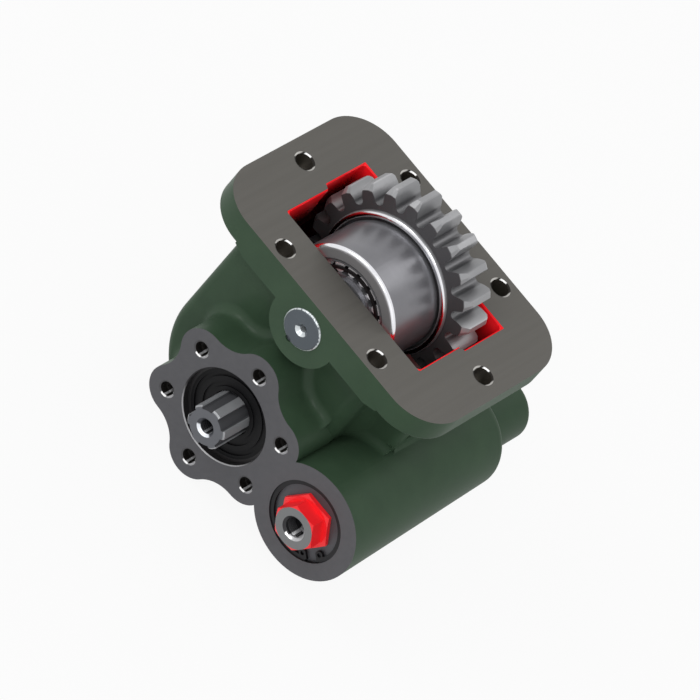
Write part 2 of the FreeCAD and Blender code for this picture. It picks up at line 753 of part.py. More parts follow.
def input_gear():
    """Toothed disc on a long drum, bored for a roller bearing at each end."""
    teeth = toothed_disc(input_teeth, math.pi / 2, input_face_y, input_rear_y, idler)
    envelope = turned([
        (0, input_face_y), (input_tip_r - chamfer_depth, input_face_y),
        (input_tip_r, input_face_y + chamfer_length), (input_tip_r, input_rear_y - runout_length),
        (input_tip_r - runout_knee_depth, input_rear_y - runout_knee_length),
        (input_tip_r - runout_depth, input_rear_y), (0, input_rear_y)], idler)
    groove = bar(neck_groove_r, input_face_y - 1, neck_rear_y, idler)
    rim = teeth.common(envelope).cut(corner_facets()).cut(groove)
    bead = bar(bead_r, bead_front_y, input_face_y + 1, idler)
    edge = edges_where(bead, lambda p, e: abs(p.y - bead_front_y) < 0.01)
    bead = bead.makeFillet(bead_round, edge)
    bead = bead.cut(bar(neck_groove_r, bead_front_y - 1, input_face_y + 2, idler))
    drum = bar(drum_r, drum_front_y, neck_front_y, idler)
    for y, r in ((drum_front_y, drum_front_round), (neck_front_y, drum_rear_round)):
        drum = drum.makeFillet(r, edges_where(drum, lambda p, e: abs(p.y - y) < 0.01))
    hub = turned([
        (0, neck_front_y - 1), (neck_r, neck_front_y - 1), (neck_r, neck_rear_y + 1),
        (hub_rear_r, neck_rear_y + 1), (hub_rear_r, hub_rear_y - hub_chamfer),
        (hub_rear_r - hub_chamfer, hub_rear_y), (0, hub_rear_y)], idler)
    wide = drum_bore_r + press_gap
    mouth = wide + drum_bore_chamfer
    depth = bearing_inset + roller_bearing_width
    bore = turned([
        (0, drum_front_y - 1), (mouth, drum_front_y - 1), (mouth, drum_front_y),
        (wide, drum_front_y + drum_bore_chamfer), (wide, drum_front_y + depth),
        (drum_shoulder_r, drum_front_y + depth), (drum_shoulder_r, hub_rear_y - depth),
        (wide, hub_rear_y - depth), (wide, hub_rear_y - drum_bore_chamfer), (mouth, hub_rear_y),
        (mouth, hub_rear_y + 1), (0, hub_rear_y + 1)], idler)
    return fused([rim, bead, hub, drum]).cut(bore).removeSplitter()


def idler_shaft():
    """Plain shaft fixed in both bosses, with a drilled centre and a notch for its lock pin."""
    r = idler_shaft_r
    front = idler_shaft_front_y
    shaft = turned([
        (0, front), (r - shaft_chamfer, front), (r, front + shaft_chamfer),
        (r, idler_shaft_rear_y - shaft_chamfer), (r - shaft_chamfer, idler_shaft_rear_y),
        (0, idler_shaft_rear_y)], idler)
    drill = turned([
        (0, front - 1), (2 * centre_drill_r, front - 1), (2 * centre_drill_r, front),
        (centre_drill_r, front + centre_drill_r), (centre_drill_r, front + centre_drill_depth),
        (0, front + centre_drill_depth + centre_drill_r)], idler)
    pin = polar(idler_shaft_r, lock_pin_angle, idler)
    notch = bar(lock_pin_r + press_gap, front - 1, idler_boss_y + lock_pin_length, pin)
    return shaft.cut(drill).cut(notch)


def lock_pin():
    """Pin driven half into the shaft and half into the boss."""
    centre = polar(idler_shaft_r, lock_pin_angle, idler)
    return bar(lock_pin_r, idler_boss_y + shaft_chamfer, idler_boss_y + lock_pin_length - face_gap, centre)


def roller_bearing(y0):
    """Inner ring, outer ring, cage and rollers of one bearing that starts at a plane."""
    y1 = y0 + roller_bearing_width
    inner_race = roller_pitch_r - roller_r - running_gap
    outer_race = roller_pitch_r + roller_r + running_gap
    inner_ring = ring(inner_race, idler_shaft_r + press_gap, y0, y1, idler)
    outer_ring = ring(drum_bore_r, outer_race, y0, y1, idler)
    middle = (y0 + y1) / 2
    first = 180.0 / roller_count
    seat = (roller_pitch_r, idler_z)
    roller = bar(roller_r, middle - roller_length / 2, middle + roller_length / 2, seat)
    rollers = around(roller, roller_count, idler, first)
    cage = ring(roller_pitch_r + cage_half_depth, roller_pitch_r - cage_half_depth,
                middle - roller_length / 2 - cage_wall, middle + roller_length / 2 + cage_wall, idler)
    pocket = bar(roller_r + roller_pocket_gap, middle - roller_length / 2 - roller_pocket_gap,
                 middle + roller_length / 2 + roller_pocket_gap, seat)
    for cut in around(pocket, roller_count, idler, first):
        cage = cage.cut(cut)
    return inner_ring, outer_ring, cage, Part.makeCompound(rollers)


def save_input_side():
    """Input gear, idler shaft and every piece between them."""
    save("input_gear", input_gear())
    save("idler_shaft", idler_shaft())
    save("idler_lock_pin", lock_pin())
    starts = {"front": drum_front_y + bearing_inset,
              "rear": hub_rear_y - bearing_inset - roller_bearing_width}
    for end, y0 in starts.items():
        inner_ring, outer_ring, cage, rollers = roller_bearing(y0)
        save("roller_inner_ring_" + end, inner_ring)
        save("roller_outer_ring_" + end, outer_ring)
        save("roller_cage_" + end, cage)
        save("rollers_" + end, rollers)
    spacer_y0 = starts["front"] + roller_bearing_width + face_gap
    bore = idler_shaft_r + press_gap
    save("inner_ring_spacer", ring(spacer_r, bore, spacer_y0, starts["rear"] - face_gap, idler))
    save("thrust_washer_front", ring(washer_r, bore, window_front_y, starts["front"] - face_gap, idler))
    rear_washer_y0 = starts["rear"] + roller_bearing_width + face_gap
    save("thrust_washer_rear", ring(washer_r, bore, rear_washer_y0, window_rear_y, idler))


# Output shaft, sliding gear and their bearings

def splined_bar(root_r, tip_r, width, count, y0, y1):
    """Shaft length with straight sided spline teeth, the first one towards +Z."""
    tooth = block(-width / 2, width / 2, y0, y1, output_z, output_z + tip_r + 1)
    teeth = around(tooth, count, output)
    core = bar(root_r, y0, y1, output)
    return core.multiFuse(teeth).common(bar(tip_r, y0, y1, output))


def output_shaft():
    """Shaft with a pump spline in front, a bearing seat, a collar and the sliding spline."""
    collar_front_y = front_bearing_rear_y + face_gap
    collar_rear_y = front_bearing_rear_y + collar_length
    pump_spline = splined_bar(spline_root_r, spline_tip_r, spline_tooth, spline_teeth,
                              spline_front_y, spline_rear_y)
    lead = turned([
        (0, spline_front_y), (spline_tip_r - shaft_chamfer, spline_front_y),
        (spline_tip_r, spline_front_y + shaft_chamfer), (spline_tip_r, spline_rear_y),
        (0, spline_rear_y)], output)
    pump_spline = pump_spline.common(lead)
    journal = turned([
        (0, spline_rear_y), (journal_r - shaft_chamfer, spline_rear_y),
        (journal_r, spline_rear_y + shaft_chamfer), (journal_r, collar_front_y),
        (collar_r, collar_front_y), (collar_r, collar_rear_y), (0, collar_rear_y)], output)
    slide = splined_bar(slide_root_r, slide_tip_r, slide_tooth, spline_teeth,
                        collar_rear_y, rear_bearing_front_y - face_gap)
    clip_y = rear_bearing_front_y + bearing_width
    neck_r = journal_r - circlip_groove
    tail = turned([
        (0, rear_bearing_front_y - face_gap), (journal_r, rear_bearing_front_y - face_gap),
        (journal_r, clip_y), (neck_r, clip_y), (neck_r, clip_y + circlip_t + circlip_gap),
        (journal_r, clip_y + circlip_t + circlip_gap), (journal_r, shaft_rear_y - shaft_chamfer),
        (journal_r - shaft_chamfer, shaft_rear_y), (0, shaft_rear_y)], output)
    shaft = fused([pump_spline, journal, slide, tail])
    mouth = drilled(tapped_end_r, tapped_end_chamfer, tapped_end_chamfer, spline_front_y,
                    tapped_end_depth, output)
    return shaft.cut(mouth)


def sliding_gear():
    """Gear that slides on the shaft, with a fork groove in its hub."""
    rear_y = sliding_face_y + sliding_tooth_width
    teeth = toothed_disc(sliding_teeth, math.pi / 2, sliding_face_y, rear_y, output)
    lead = turned([
        (0, sliding_face_y), (sliding_tip_r, sliding_face_y), (sliding_tip_r, rear_y - chamfer_length),
        (sliding_tip_r - chamfer_depth, rear_y), (0, rear_y)], output)
    groove_rear_y = fork_groove_front_y + fork_groove_width
    hub = turned([
        (0, rear_y - 1), (sliding_hub_r, rear_y - 1), (sliding_hub_r, fork_groove_front_y),
        (fork_groove_r, fork_groove_front_y), (fork_groove_r, groove_rear_y),
        (sliding_hub_r, groove_rear_y), (sliding_hub_r, sliding_hub_rear_y),
        (0, sliding_hub_rear_y)], output)
    gap = running_gap
    bore = splined_bar(slide_root_r + gap, slide_tip_r + gap, slide_tooth + 2 * gap, spline_teeth,
                       sliding_face_y - 1, sliding_hub_rear_y + 1)
    return teeth.common(lead).fuse(hub).cut(bore).removeSplitter()


def shielded_bearing(y0):
    """Inner ring, outer ring and the two shields that close the space between them."""
    depth = bearing_r - journal_r
    y1 = y0 + bearing_width
    inner_race = journal_r + ring_share * depth
    outer_race = bearing_r - ring_share * depth
    inner_ring = ring(inner_race, journal_r + press_gap, y0, y1, output)
    outer_ring = ring(bearing_r, outer_race, y0, y1, output)
    near = y0 + shield_inset
    far = y1 - shield_inset
    rim = outer_race - press_gap
    lip = inner_race + running_gap
    front = ring(rim, lip, near, near + shield_t, output)
    rear = ring(rim, lip, far - shield_t, far, output)
    return inner_ring, outer_ring, Part.makeCompound([front, rear])


def shaft_seal():
    """Rubber lip seal: outer band, a front plate with stepped rings and a lip that runs on the journal."""
    y0 = seal_front_y
    y1 = y0 + seal_width
    back = y0 + seal_plate_t
    band = bearing_r - seal_band
    lip = journal_r + running_gap
    arm = lip + seal_arm_root
    corners = [(bearing_r, y0), (bearing_r, y1), (band, y1), (band, back), (arm, back)]
    corners += [(lip + seal_arm_tip, y1 - seal_lip_land), (lip, y1 - 2 * seal_lip_land)]
    corners += [(lip, y1 - 3 * seal_lip_land), (arm - seal_arm_t, back), (journal_r + seal_mouth_gap, back)]
    inner = journal_r + seal_mouth_gap
    for outer, depth in seal_rings:
        corners += [(inner, y0 + depth), (outer, y0 + depth)]
        inner = outer
    corners.append((inner, y0))
    return turned(corners, output)


def snap_ring(outer_r, inner_r, y0, axis):
    """Open ring with its gap towards -Z."""
    whole = ring(outer_r, inner_r, y0, y0 + circlip_t, axis)
    half = outer_r * math.sin(circlip_gap_half_angle)
    return whole.cut(block(axis[0] - half, axis[0] + half, y0 - 1, y0 + circlip_t + 1,
                           axis[1] - outer_r - 1, axis[1]))


def rear_cover():
    """Round cover behind the rear bearing, recessed for the shaft's end."""
    rear_y = cover_seat_y + cover_t
    cover = bar(cover_r, cover_seat_y, rear_y, output)
    edge = edges_where(cover, lambda p, e: abs(p.y - rear_y) < 0.01)
    cover = cover.makeChamfer(shaft_chamfer, edge)
    cover = cover.cut(bar(cover_recess_r, cover_seat_y, cover_seat_y + cover_recess, output))
    hole = bar(cover_screw_r + running_gap, cover_seat_y - 1, rear_y + 1, (cover_bolt_r, output_z))
    for cut in around(hole, cover_bolts, output, 180.0 / cover_bolts):
        cover = cover.cut(cut)
    return cover


def cover_screws():
    """Cap screws of the rear cover, with hexagon sockets."""
    axis = (cover_bolt_r, output_z)
    seat = cover_seat_y + cover_t
    shank = bar(cover_screw_r, seat - cover_screw_length + face_gap, seat, axis)
    head = bar(cover_head_r, seat, seat + cover_head_t, axis)
    top = seat + cover_head_t
    socket = hexagon(2 * cover_socket_r, top - cover_socket_depth, top + 1, axis)
    screw = shank.fuse(head).removeSplitter().cut(socket)
    return Part.makeCompound(around(screw, cover_bolts, output, 180.0 / cover_bolts))


def save_output_side():
    """Output shaft, sliding gear and every piece that carries or seals them."""
    save("output_shaft", output_shaft())
    save("sliding_gear", sliding_gear())
    front_y = front_bearing_rear_y - bearing_width
    for end, y0 in {"front": front_y, "rear": rear_bearing_front_y}.items():
        inner_ring, outer_ring, shields = shielded_bearing(y0)
        save("output_inner_ring_" + end, inner_ring)
        save("output_outer_ring_" + end, outer_ring)
        save("bearing_shields_" + end, shields)
    save("shaft_seal", shaft_seal())
    clip_inner_r = bearing_r - ring_share * (bearing_r - journal_r)
    save("bearing_circlip_front", snap_ring(bearing_r + circlip_groove, clip_inner_r,
                                            front_y - circlip_t - face_gap, output))
    clip_y = rear_bearing_front_y + bearing_width + face_gap
    clip_bore = journal_r - circlip_groove + press_gap
    save("bearing_circlip_rear", snap_ring(journal_r + circlip_groove, clip_bore, clip_y, output))
    save("rear_cover", rear_cover())
    save("rear_cover_screws", cover_screws())


# Air shift: piston, rod, fork and spring

def piston():
    """Piston with a seal groove and a recess for its nut."""
    y1 = piston_front_y + piston_width
    r = cylinder_bore_r - running_gap
    seal_y = (piston_front_y + y1 - piston_seal_width) / 2
    groove_r = r - piston_seal_depth
    recess_y = piston_front_y + piston_recess
    disc = turned([
        (rod_end_r + press_gap, recess_y), (piston_recess_r, recess_y), (piston_recess_r, piston_front_y),
        (r - shaft_chamfer, piston_front_y), (r, piston_front_y + shaft_chamfer), (r, seal_y),
        (groove_r, seal_y), (groove_r, seal_y + piston_seal_width), (r, seal_y + piston_seal_width),
        (r, y1), (rod_end_r + press_gap, y1)], cylinder)
    seal = ring(r, groove_r + press_gap, seal_y + face_gap, seal_y + piston_seal_width - face_gap, cylinder)
    return disc, seal


def shift_rod():
    """Rod stepped down through the piston, with a groove behind for the spring collar's clip."""
    shoulder_y = piston_front_y + piston_width
    groove_r = rod_r - circlip_groove
    return turned([
        (0, piston_front_y), (rod_end_r - rod_end_chamfer, piston_front_y),
        (rod_end_r, piston_front_y + rod_end_chamfer),
        (rod_end_r, shoulder_y), (rod_r, shoulder_y), (rod_r, collar_front_y),
        (groove_r, collar_front_y), (groove_r, collar_front_y + spring_collar_t),
        (rod_r, collar_front_y + spring_collar_t), (rod_r, rod_rear_y - shaft_chamfer),
        (rod_r - shaft_chamfer, rod_rear_y), (0, rod_rear_y)], cylinder)


def shift_fork():
    """Hub clamped on the rod, an arm, and a half ring that sits in the gear's groove."""
    y0 = fork_groove_front_y + fork_side_gap
    y1 = fork_groove_front_y + fork_groove_width - fork_side_gap
    claw_inner = fork_groove_r + fork_side_gap
    claw = ring(fork_outer_r, claw_inner, y0, y1, output)
    claw = claw.cut(block(-fork_outer_r - 1, 0, y0 - 1, y1 + 1,
                          output_z - fork_outer_r - 1, output_z + fork_outer_r + 1))
    arm = block((claw_inner + fork_outer_r) / 2, cylinder_x, y0, y1,
                cylinder_z - fork_arm_half, cylinder_z + fork_arm_half)
    arm = arm.cut(bar(claw_inner, y0 - 1, y1 + 1, output))
    hub = bar(fork_hub_r, fork_hub_front_y, fork_hub_rear_y, cylinder)
    fork = fused([claw, arm, hub]).cut(bar(rod_r + press_gap, y0 - fork_hub_r, y1 + fork_hub_r, cylinder))
    return fork.cut(screw_bar(fork_screw_r + press_gap, fork_hub_r + 1))


def screw_bar(radius, top):
    """Upright bar from the rod's surface through the top of the fork's hub."""
    y = (fork_groove_front_y + fork_groove_width + fork_hub_rear_y) / 2
    return Part.makeCylinder(radius, top - rod_r, Vec(cylinder_x, y, cylinder_z + rod_r))


def fork_screw():
    """Set screw with a hexagon socket, resting on the rod."""
    screw = screw_bar(fork_screw_r, fork_hub_r)
    screw.translate(Vec(0, 0, face_gap))
    return screw


def return_spring():
    """Flat wire coil spring, nearly closed while air holds the piston back."""
    start = collar_front_y + spring_collar_t
    length = spring_bore_rear_y - start
    rise = length - spring_wire - 2 * face_gap
    coil = Part.makeHelix(rise / spring_coils, rise, spring_mean_r)
    half = spring_wire / 2
    inner = spring_mean_r - spring_wire_width / 2
    outer = spring_mean_r + spring_wire_width / 2
    corners = [Vec(inner, 0, -half), Vec(outer, 0, -half), Vec(outer, 0, half), Vec(inner, 0, half)]
    section = Part.makePolygon(corners + corners[:1])
    spring = Part.Wire(coil.Edges).makePipeShell([section], True, True)
    spring.rotate(Vec(0, 0, 0), Vec(1, 0, 0), -90)
    spring.translate(Vec(cylinder_x, start + spring_wire / 2 + face_gap, cylinder_z))
    return spring


def save_shift():
    """Everything that the air moves."""
    disc, seal = piston()
    save("piston", disc)
    save("piston_seal", seal)
    save("shift_rod", shift_rod())
    nut = hex_nut(rod_nut_across, piston_front_y + face_gap, piston_front_y + piston_recess - face_gap,
                  cylinder)
    nut_bore = bar(rod_end_r + press_gap, piston_front_y - 1, piston_front_y + piston_width, cylinder)
    save("piston_nut", nut.cut(nut_bore))
    save("shift_fork", shift_fork())
    save("fork_screw", fork_screw())
    save("rod_seal", ring(rod_seal_r, rod_r + running_gap, rod_seal_front_y,
                          rod_seal_front_y + rod_seal_width, cylinder))
    collar_bore = rod_r - circlip_groove + press_gap
    save("spring_collar", ring(spring_collar_r, collar_bore, collar_front_y + face_gap,
                               collar_front_y + spring_collar_t - face_gap, cylinder))
    save("return_spring", return_spring())


# Cap end of the air cylinder

def cylinder_cap():
    """Round cap with a seal groove, held by a circlip and bored for the fitting's stem."""
    r = cylinder_bore_r - running_gap
    y1 = cap_face_y + cap_t
    seal_y = (cap_face_y + y1 - cap_seal_width) / 2
    groove_r = r - cap_seal_depth
    cap = turned([
        (fitting_stem_r + press_gap, cap_face_y), (r, cap_face_y), (r, seal_y), (groove_r, seal_y),
        (groove_r, seal_y + cap_seal_width), (r, seal_y + cap_seal_width), (r, y1),
        (fitting_stem_r + press_gap, y1)], cylinder)
    seal = ring(r, groove_r + press_gap, seal_y + face_gap, seal_y + cap_seal_width - face_gap, cylinder)
    return cap, seal


def cap_circlip():
    """Internal circlip: an open ring with two eared ends that point inwards."""
    y1 = cap_face_y - face_gap
    y0 = y1 - circlip_t
    outer_r = cylinder_bore_r + cap_clip_groove - circlip_gap
    clip = ring(outer_r, cap_clip_inner_r, y0, y1, (0, 0))
    clip = clip.cut(block(0, outer_r + 1, y0 - 1, y1 + 1, -cap_clip_gap / 2, cap_clip_gap / 2))
    ear_end = cap_clip_inner_r - cap_clip_ear
    for side in (-1, 1):
        inner = cap_clip_gap / 2 - cap_clip_ear_overlap
        low, high = sorted((side * inner, side * (inner + cap_clip_ear_width)))
        ear = block(ear_end, cap_clip_inner_r + 1, y0, y1, low, high)
        uprights = edges_where(ear, lambda p, e: p.x < ear_end + 0.1 and abs(p.y - (y0 + y1) / 2) < 0.1)
        ear = ear.makeFillet(cap_clip_ear_round, uprights)
        hole = bar(cap_clip_hole_r, y0 - 1, y1 + 1, (ear_end + cap_clip_ear_width / 2, (low + high) / 2))
        clip = clip.fuse(ear).cut(hole)
    clip = clip.removeSplitter()
    clip.rotate(Vec(0, 0, 0), ALONG_Y, -math.degrees(cap_clip_angle))
    clip.translate(Vec(cylinder_x, 0, cylinder_z))
    return clip


def air_fitting():
    """Hexagonal fitting with a tapped mouth and a stem through the cap."""
    hex_rear_y = cap_face_y - nut_t
    hexagonal = hex_nut(fitting_across, fitting_front_y, hex_rear_y, cylinder)
    stem = bar(fitting_stem_r, hex_rear_y - 1, cap_face_y + cap_t, cylinder)
    fitting = hexagonal.fuse(stem).removeSplitter()
    mouth = drilled(fitting_bore_r, fitting_bore_chamfer, fitting_bore_chamfer, fitting_front_y,
                    fitting_bore_depth - nut_t, cylinder)
    return fitting.cut(mouth).cut(bar(fitting_air_r, fitting_front_y, cap_face_y + cap_t + 1, cylinder))


def save_cap():
    """Cap, circlip and the red fitting with its nut."""
    cap, seal = cylinder_cap()
    save("cylinder_cap", cap)
    save("cap_seal", seal)
    save("cap_circlip", cap_circlip())
    nut = hex_nut(nut_across, cap_face_y - nut_t, cap_face_y, cylinder)
    nut_bore = bar(fitting_stem_r + press_gap, cap_face_y - nut_t - 1, cap_face_y + 1, cylinder)
    save("fitting_nut", nut.cut(nut_bore))
    save("air_fitting", air_fitting())


save("housing", housing())
save_input_side()
save_output_side()
save_shift()
save_cap()
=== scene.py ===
import math
import bpy
from mathutils import Matrix, Vector


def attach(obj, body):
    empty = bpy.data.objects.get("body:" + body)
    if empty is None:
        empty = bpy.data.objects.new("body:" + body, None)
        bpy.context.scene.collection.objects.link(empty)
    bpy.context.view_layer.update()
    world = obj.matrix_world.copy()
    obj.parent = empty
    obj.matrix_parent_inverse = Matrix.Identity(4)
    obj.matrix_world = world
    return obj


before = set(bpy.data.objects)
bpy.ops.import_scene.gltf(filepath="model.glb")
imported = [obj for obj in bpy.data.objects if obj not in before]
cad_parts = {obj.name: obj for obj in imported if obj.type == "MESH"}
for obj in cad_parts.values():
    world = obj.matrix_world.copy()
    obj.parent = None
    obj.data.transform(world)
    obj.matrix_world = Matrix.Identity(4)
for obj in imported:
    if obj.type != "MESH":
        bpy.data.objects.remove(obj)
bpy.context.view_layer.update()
bpy.ops.object.select_all(action="DESELECT")

MM = 0.001
OUTPUT_Z = -101.125
IDLER_Z = -18.0
CYLINDER_X, CYLINDER_Z = 70.7, -104.0
FRONT_Y = -67.0
SPLINE_FRONT_Y = -83.0
FITTING_FRONT_Y = -77.0
PUMP_CIRCLE_R = 38.5
TAP_R = 4.2
INLET_R = 5.9
END_BOLT_X = 74.6
CORNER_BOLT_X, CORNER_BOLT_Y = 38.0, 55.0
SKIN = 0.02
NO_GLOW = (0, 0, 0, 1)
idler = (0.0, IDLER_Z)
output = (0.0, OUTPUT_Z)
cylinder = (CYLINDER_X, CYLINDER_Z)


# The housing is one iron casting, painted green all over. The gearbox face, the pump face, the front of
# the air cylinder and every bore are machined bare, and the gear chamber inside is painted red.
# The walls of its bolt holes have painted shade on the left and painted highlight streaks on the right,
# the hole chamfers and the pilot bore's rim have painted highlights and glints, and the red chamber
# darkens towards the bottom as painted shade, with a painted glow near its top.

class Wire:
    """One value or colour in a finish. Arithmetic on it adds Math nodes to the finish's tree."""

    def __init__(self, finish, socket):
        self.finish = finish
        self.socket = socket

    def maths(self, operation, *others):
        return self.finish.node("ShaderNodeMath", {"operation": operation}, {
            k: value for k, value in enumerate((self, *others))})

    def __add__(self, other):
        return self.maths("ADD", other)

    def __radd__(self, other):
        return self.maths("ADD", other)

    def __sub__(self, other):
        return self.maths("SUBTRACT", other)

    def __rsub__(self, other):
        return self.finish.value(other).maths("SUBTRACT", self)

    def __mul__(self, other):
        return self.maths("MULTIPLY", other)

    def __rmul__(self, other):
        return self.maths("MULTIPLY", other)

    def __truediv__(self, other):
        return self.maths("DIVIDE", other)

    def __pow__(self, other):
        return self.maths("POWER", other)

    def above(self, edge, soft=0.05):
        """1 where this value is above an edge, 0 below it, with a soft change between."""
        return self.finish.node("ShaderNodeMapRange", {"interpolation_type": "SMOOTHSTEP"}, {
            "Value": self, "From Min": edge - soft / 2, "From Max": edge + soft / 2})

    def below(self, edge, soft=0.05):
        """1 where this value is below an edge."""
        return 1 - self.above(edge, soft)

    def within(self, low, high, soft=0.05):
        """1 between two edges."""
        return self.above(low, soft) * self.below(high, soft)

    def either(self, other):
        """1 where either mask is 1."""
        return self.maths("MAXIMUM", other)


class Finish:
    """A material with one Principled shader, and the wires that lead to it."""

    def __init__(self, name):
        self.material = bpy.data.materials.new(name)
        self.material.use_nodes = True
        self.tree = self.material.node_tree
        self.shader = next(n for n in self.tree.nodes if n.type == "BSDF_PRINCIPLED")
        place = self.node("ShaderNodeSeparateXYZ", {}, {0: self.coordinates()})
        parts = place.socket.node.outputs
        self.x, self.y, self.z = (Wire(self, parts[k]) * (1 / MM) for k in range(3))

    def node(self, kind, settings, inputs, output=0):
        """Adds a node with its settings and the values or wires of its inputs."""
        node = self.tree.nodes.new(kind)
        for key, value in settings.items():
            setattr(node, key, value)
        for key, value in inputs.items():
            if isinstance(value, Wire):
                self.tree.links.new(value.socket, node.inputs[key])
            else:
                node.inputs[key].default_value = value
        return Wire(self, node.outputs[output])

    def coordinates(self):
        return self.node("ShaderNodeTexCoord", {}, {}, "Object")

    def value(self, number):
        wire = self.node("ShaderNodeValue", {}, {})
        wire.socket.default_value = number
        return wire

    def mix(self, share, first, second):
        """Blend of two colours."""
        return self.node("ShaderNodeMix", {"data_type": "RGBA"}, {0: share, 6: first, 7: second}, 2)

    def blend(self, share, first, second):
        """Blend of two numbers."""
        return self.node("ShaderNodeMix", {"data_type": "FLOAT"}, {0: share, 2: first, 3: second}, 0)

    def noise(self, scale, detail=3.0, stretch=(1, 1, 1), rough=0.5):
        """Noise with so many features per metre, stretched along each axis."""
        placed = self.node("ShaderNodeMapping", {}, {"Vector": self.coordinates(), "Scale": stretch})
        return self.node("ShaderNodeTexNoise", {}, {"Vector": placed, "Scale": scale, "Detail": detail,
                                                    "Roughness": rough})

    def radius(self, axis):
        """Distance from an axis along Y, in millimetres."""
        return length(self.x - axis[0], self.z - axis[1])

    def turned_marks(self, axis, pitch=0.35):
        """Fine lathe marks: rings about an axis along Y."""
        line = self.node("ShaderNodeCombineXYZ", {}, {0: self.radius(axis) / pitch, 1: self.y / pitch})
        return self.node("ShaderNodeTexNoise", {}, {"Vector": line, "Scale": 1.0, "Detail": 2.0})

    def bump(self, height, depth, strength=1.0):
        """Relief of the surface: depth in millimetres for a height from 0 to 1."""
        relief = self.node("ShaderNodeBump", {}, {
            "Height": height, "Distance": depth * MM, "Strength": strength})
        self.tree.links.new(relief.socket, self.shader.inputs["Normal"])

    def set(self, **sockets):
        """Values or wires of the shader's sockets."""
        for name, value in sockets.items():
            key = name.replace("_", " ")
            if isinstance(value, Wire):
                self.tree.links.new(value.socket, self.shader.inputs[key])
            else:
                self.shader.inputs[key].default_value = value
        return self

    def dress(self, *nodes):
        """Puts the finish on CAD nodes."""
        for name in nodes:
            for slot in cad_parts[name].material_slots:
                slot.material = self.material


def length(across, up):
    """Length of a line with these two legs."""
    return (across * across + up * up) ** 0.5


def srgb(red, green, blue):
    """Colour from its screen values, 0 to 255."""
    shares = [value / 255 for value in (red, green, blue)]
    linear = [v / 12.92 if v <= 0.04045 else ((v + 0.055) / 1.055) ** 2.4 for v in shares]
    return (*linear, 1.0)


def pump_hole_place(finish):
    """Place across and up from the nearest of the six tapped holes in the pump face."""
    sixth = math.pi / 3
    turn = (finish.z - OUTPUT_Z).maths("ARCTAN2", finish.x) / sixth
    hole = (turn.maths("FLOOR") + 0.5) * sixth
    across = finish.x - hole.maths("COSINE") * PUMP_CIRCLE_R
    up = finish.z - OUTPUT_Z - hole.maths("SINE") * PUMP_CIRCLE_R
    return across, up


def painted_hole_light(finish, across, up, radius, dark, light):
    """Colour of a hole's wall: painted shade on the left, two painted highlight streaks on the right."""
    middle = across.within(radius * 0.05, radius * 0.36, 0.4)
    right_edge = across.above(radius * 0.76, 0.4)
    return finish.mix(middle.either(right_edge) * up.below(radius * 0.6, 1.0), dark, light)


casting = Finish("painted_casting")
green = srgb(52, 72, 54)
green_light = srgb(61, 82, 62)
top_light = srgb(98, 96, 92)
top_dark = srgb(89, 87, 83)
front_light = srgb(96, 96, 99)
front_dark = srgb(88, 88, 91)
# Dark grey for painted shade on the bolt hole walls and for the dark part of the hole chamfers, near white
# for painted highlight streaks and glints.
dark_steel_and_shade = srgb(44, 42, 40)
painted_streak_light = srgb(236, 236, 238)
painted_glint_white = srgb(255, 255, 255)
red = srgb(250, 30, 38)
# Dark red for painted shade deep in the chamber.
red_painted_shade = srgb(50, 14, 14)

hole_x, hole_z = pump_hole_place(casting)
hole_r = length(hole_x, hole_z)
pump_hole = hole_r.below(5.15) * casting.y.below(-46.0)
pump_rim = hole_r.above(4.3)
pump_wall_shade_streaks = painted_hole_light(casting, hole_x, hole_z, TAP_R, dark_steel_and_shade, painted_streak_light)
# Painted glint at the bottom of each pump hole's chamfer and a softer painted highlight on its right.
pump_glint = hole_z.below(-3.0, 0.8) * hole_x.within(-1.4, 2.2, 0.8)
pump_soft_highlight = hole_x.above(2.6, 1.5) * hole_z.below(1.0, 1.0)
pump_edge_highlights = casting.mix(pump_soft_highlight, srgb(84, 84, 86), srgb(160, 160, 162))
pump_edge_highlights = casting.mix(pump_glint, pump_edge_highlights, painted_glint_white)
pump_metal_and_light = casting.mix(pump_rim, pump_wall_shade_streaks, pump_edge_highlights)

sign_x = casting.x.maths("SIGN")
sign_y = casting.y.maths("SIGN")
end_u = casting.x - sign_x * END_BOLT_X
corner_u = casting.x - sign_x * CORNER_BOLT_X
corner_v = casting.y - sign_y * CORNER_BOLT_Y
at_end = length(end_u, casting.y).below(8.0)
flange_u = casting.blend(at_end, corner_u, end_u)
flange_v = casting.blend(at_end, corner_v, casting.y)
flange_r = length(flange_u, flange_v)
flange_hole = flange_r.below(6.45) * casting.z.within(-15.75, -0.03)
flange_rim = casting.z.above(-0.55)
# Painted glint on the +Y side of each flange hole's chamfer and softer painted highlights at its sides.
flange_glint = flange_v.above(3.4, 0.8) * flange_u.within(-3.9, -0.3, 0.8)
flange_soft_highlight = flange_u.maths("ABSOLUTE").above(5.1, 0.8)
flange_edge_highlights = casting.mix(flange_soft_highlight, dark_steel_and_shade, srgb(180, 178, 174))
flange_edge_highlights = casting.mix(flange_glint, flange_edge_highlights, painted_glint_white)
flange_metal_and_light = casting.mix(flange_rim, srgb(82, 77, 70), flange_edge_highlights)

pump_r = casting.radius(output)
pilot = pump_r.below(29.0) * casting.y.within(FRONT_Y + SKIN, -34.5)
# Painted highlight on the lower part of the pilot bore's rim.
pilot_rim_highlight = casting.y.below(-66.3) * (casting.z - OUTPUT_Z).below(-10.0, 14.0)
pilot_metal_and_highlight = casting.mix(pilot_rim_highlight, srgb(62, 61, 62), srgb(176, 176, 178))
cylinder_bore = casting.radius(cylinder).below(25.6) * casting.y.within(FRONT_Y + SKIN, -19.5)
front_faces = casting.y.below(FRONT_Y + SKIN)
top_face = casting.z.above(-0.03, 0.02)

side = casting.x.maths("ABSOLUTE")
chamber = side.below(58.6) * casting.y.within(-36.5, 36.5) * casting.z.within(-146.0, -0.05)
outside_step = casting.x.above(41.5) * casting.y.below(-19.5) * casting.z.below(-15.0)
window_chamfer = casting.z.above(-0.82, 0.04) * casting.y.within(-36.4, -35.1) * side.below(57.6)
chamber = chamber * (1 - outside_step) * (1 - window_chamfer)

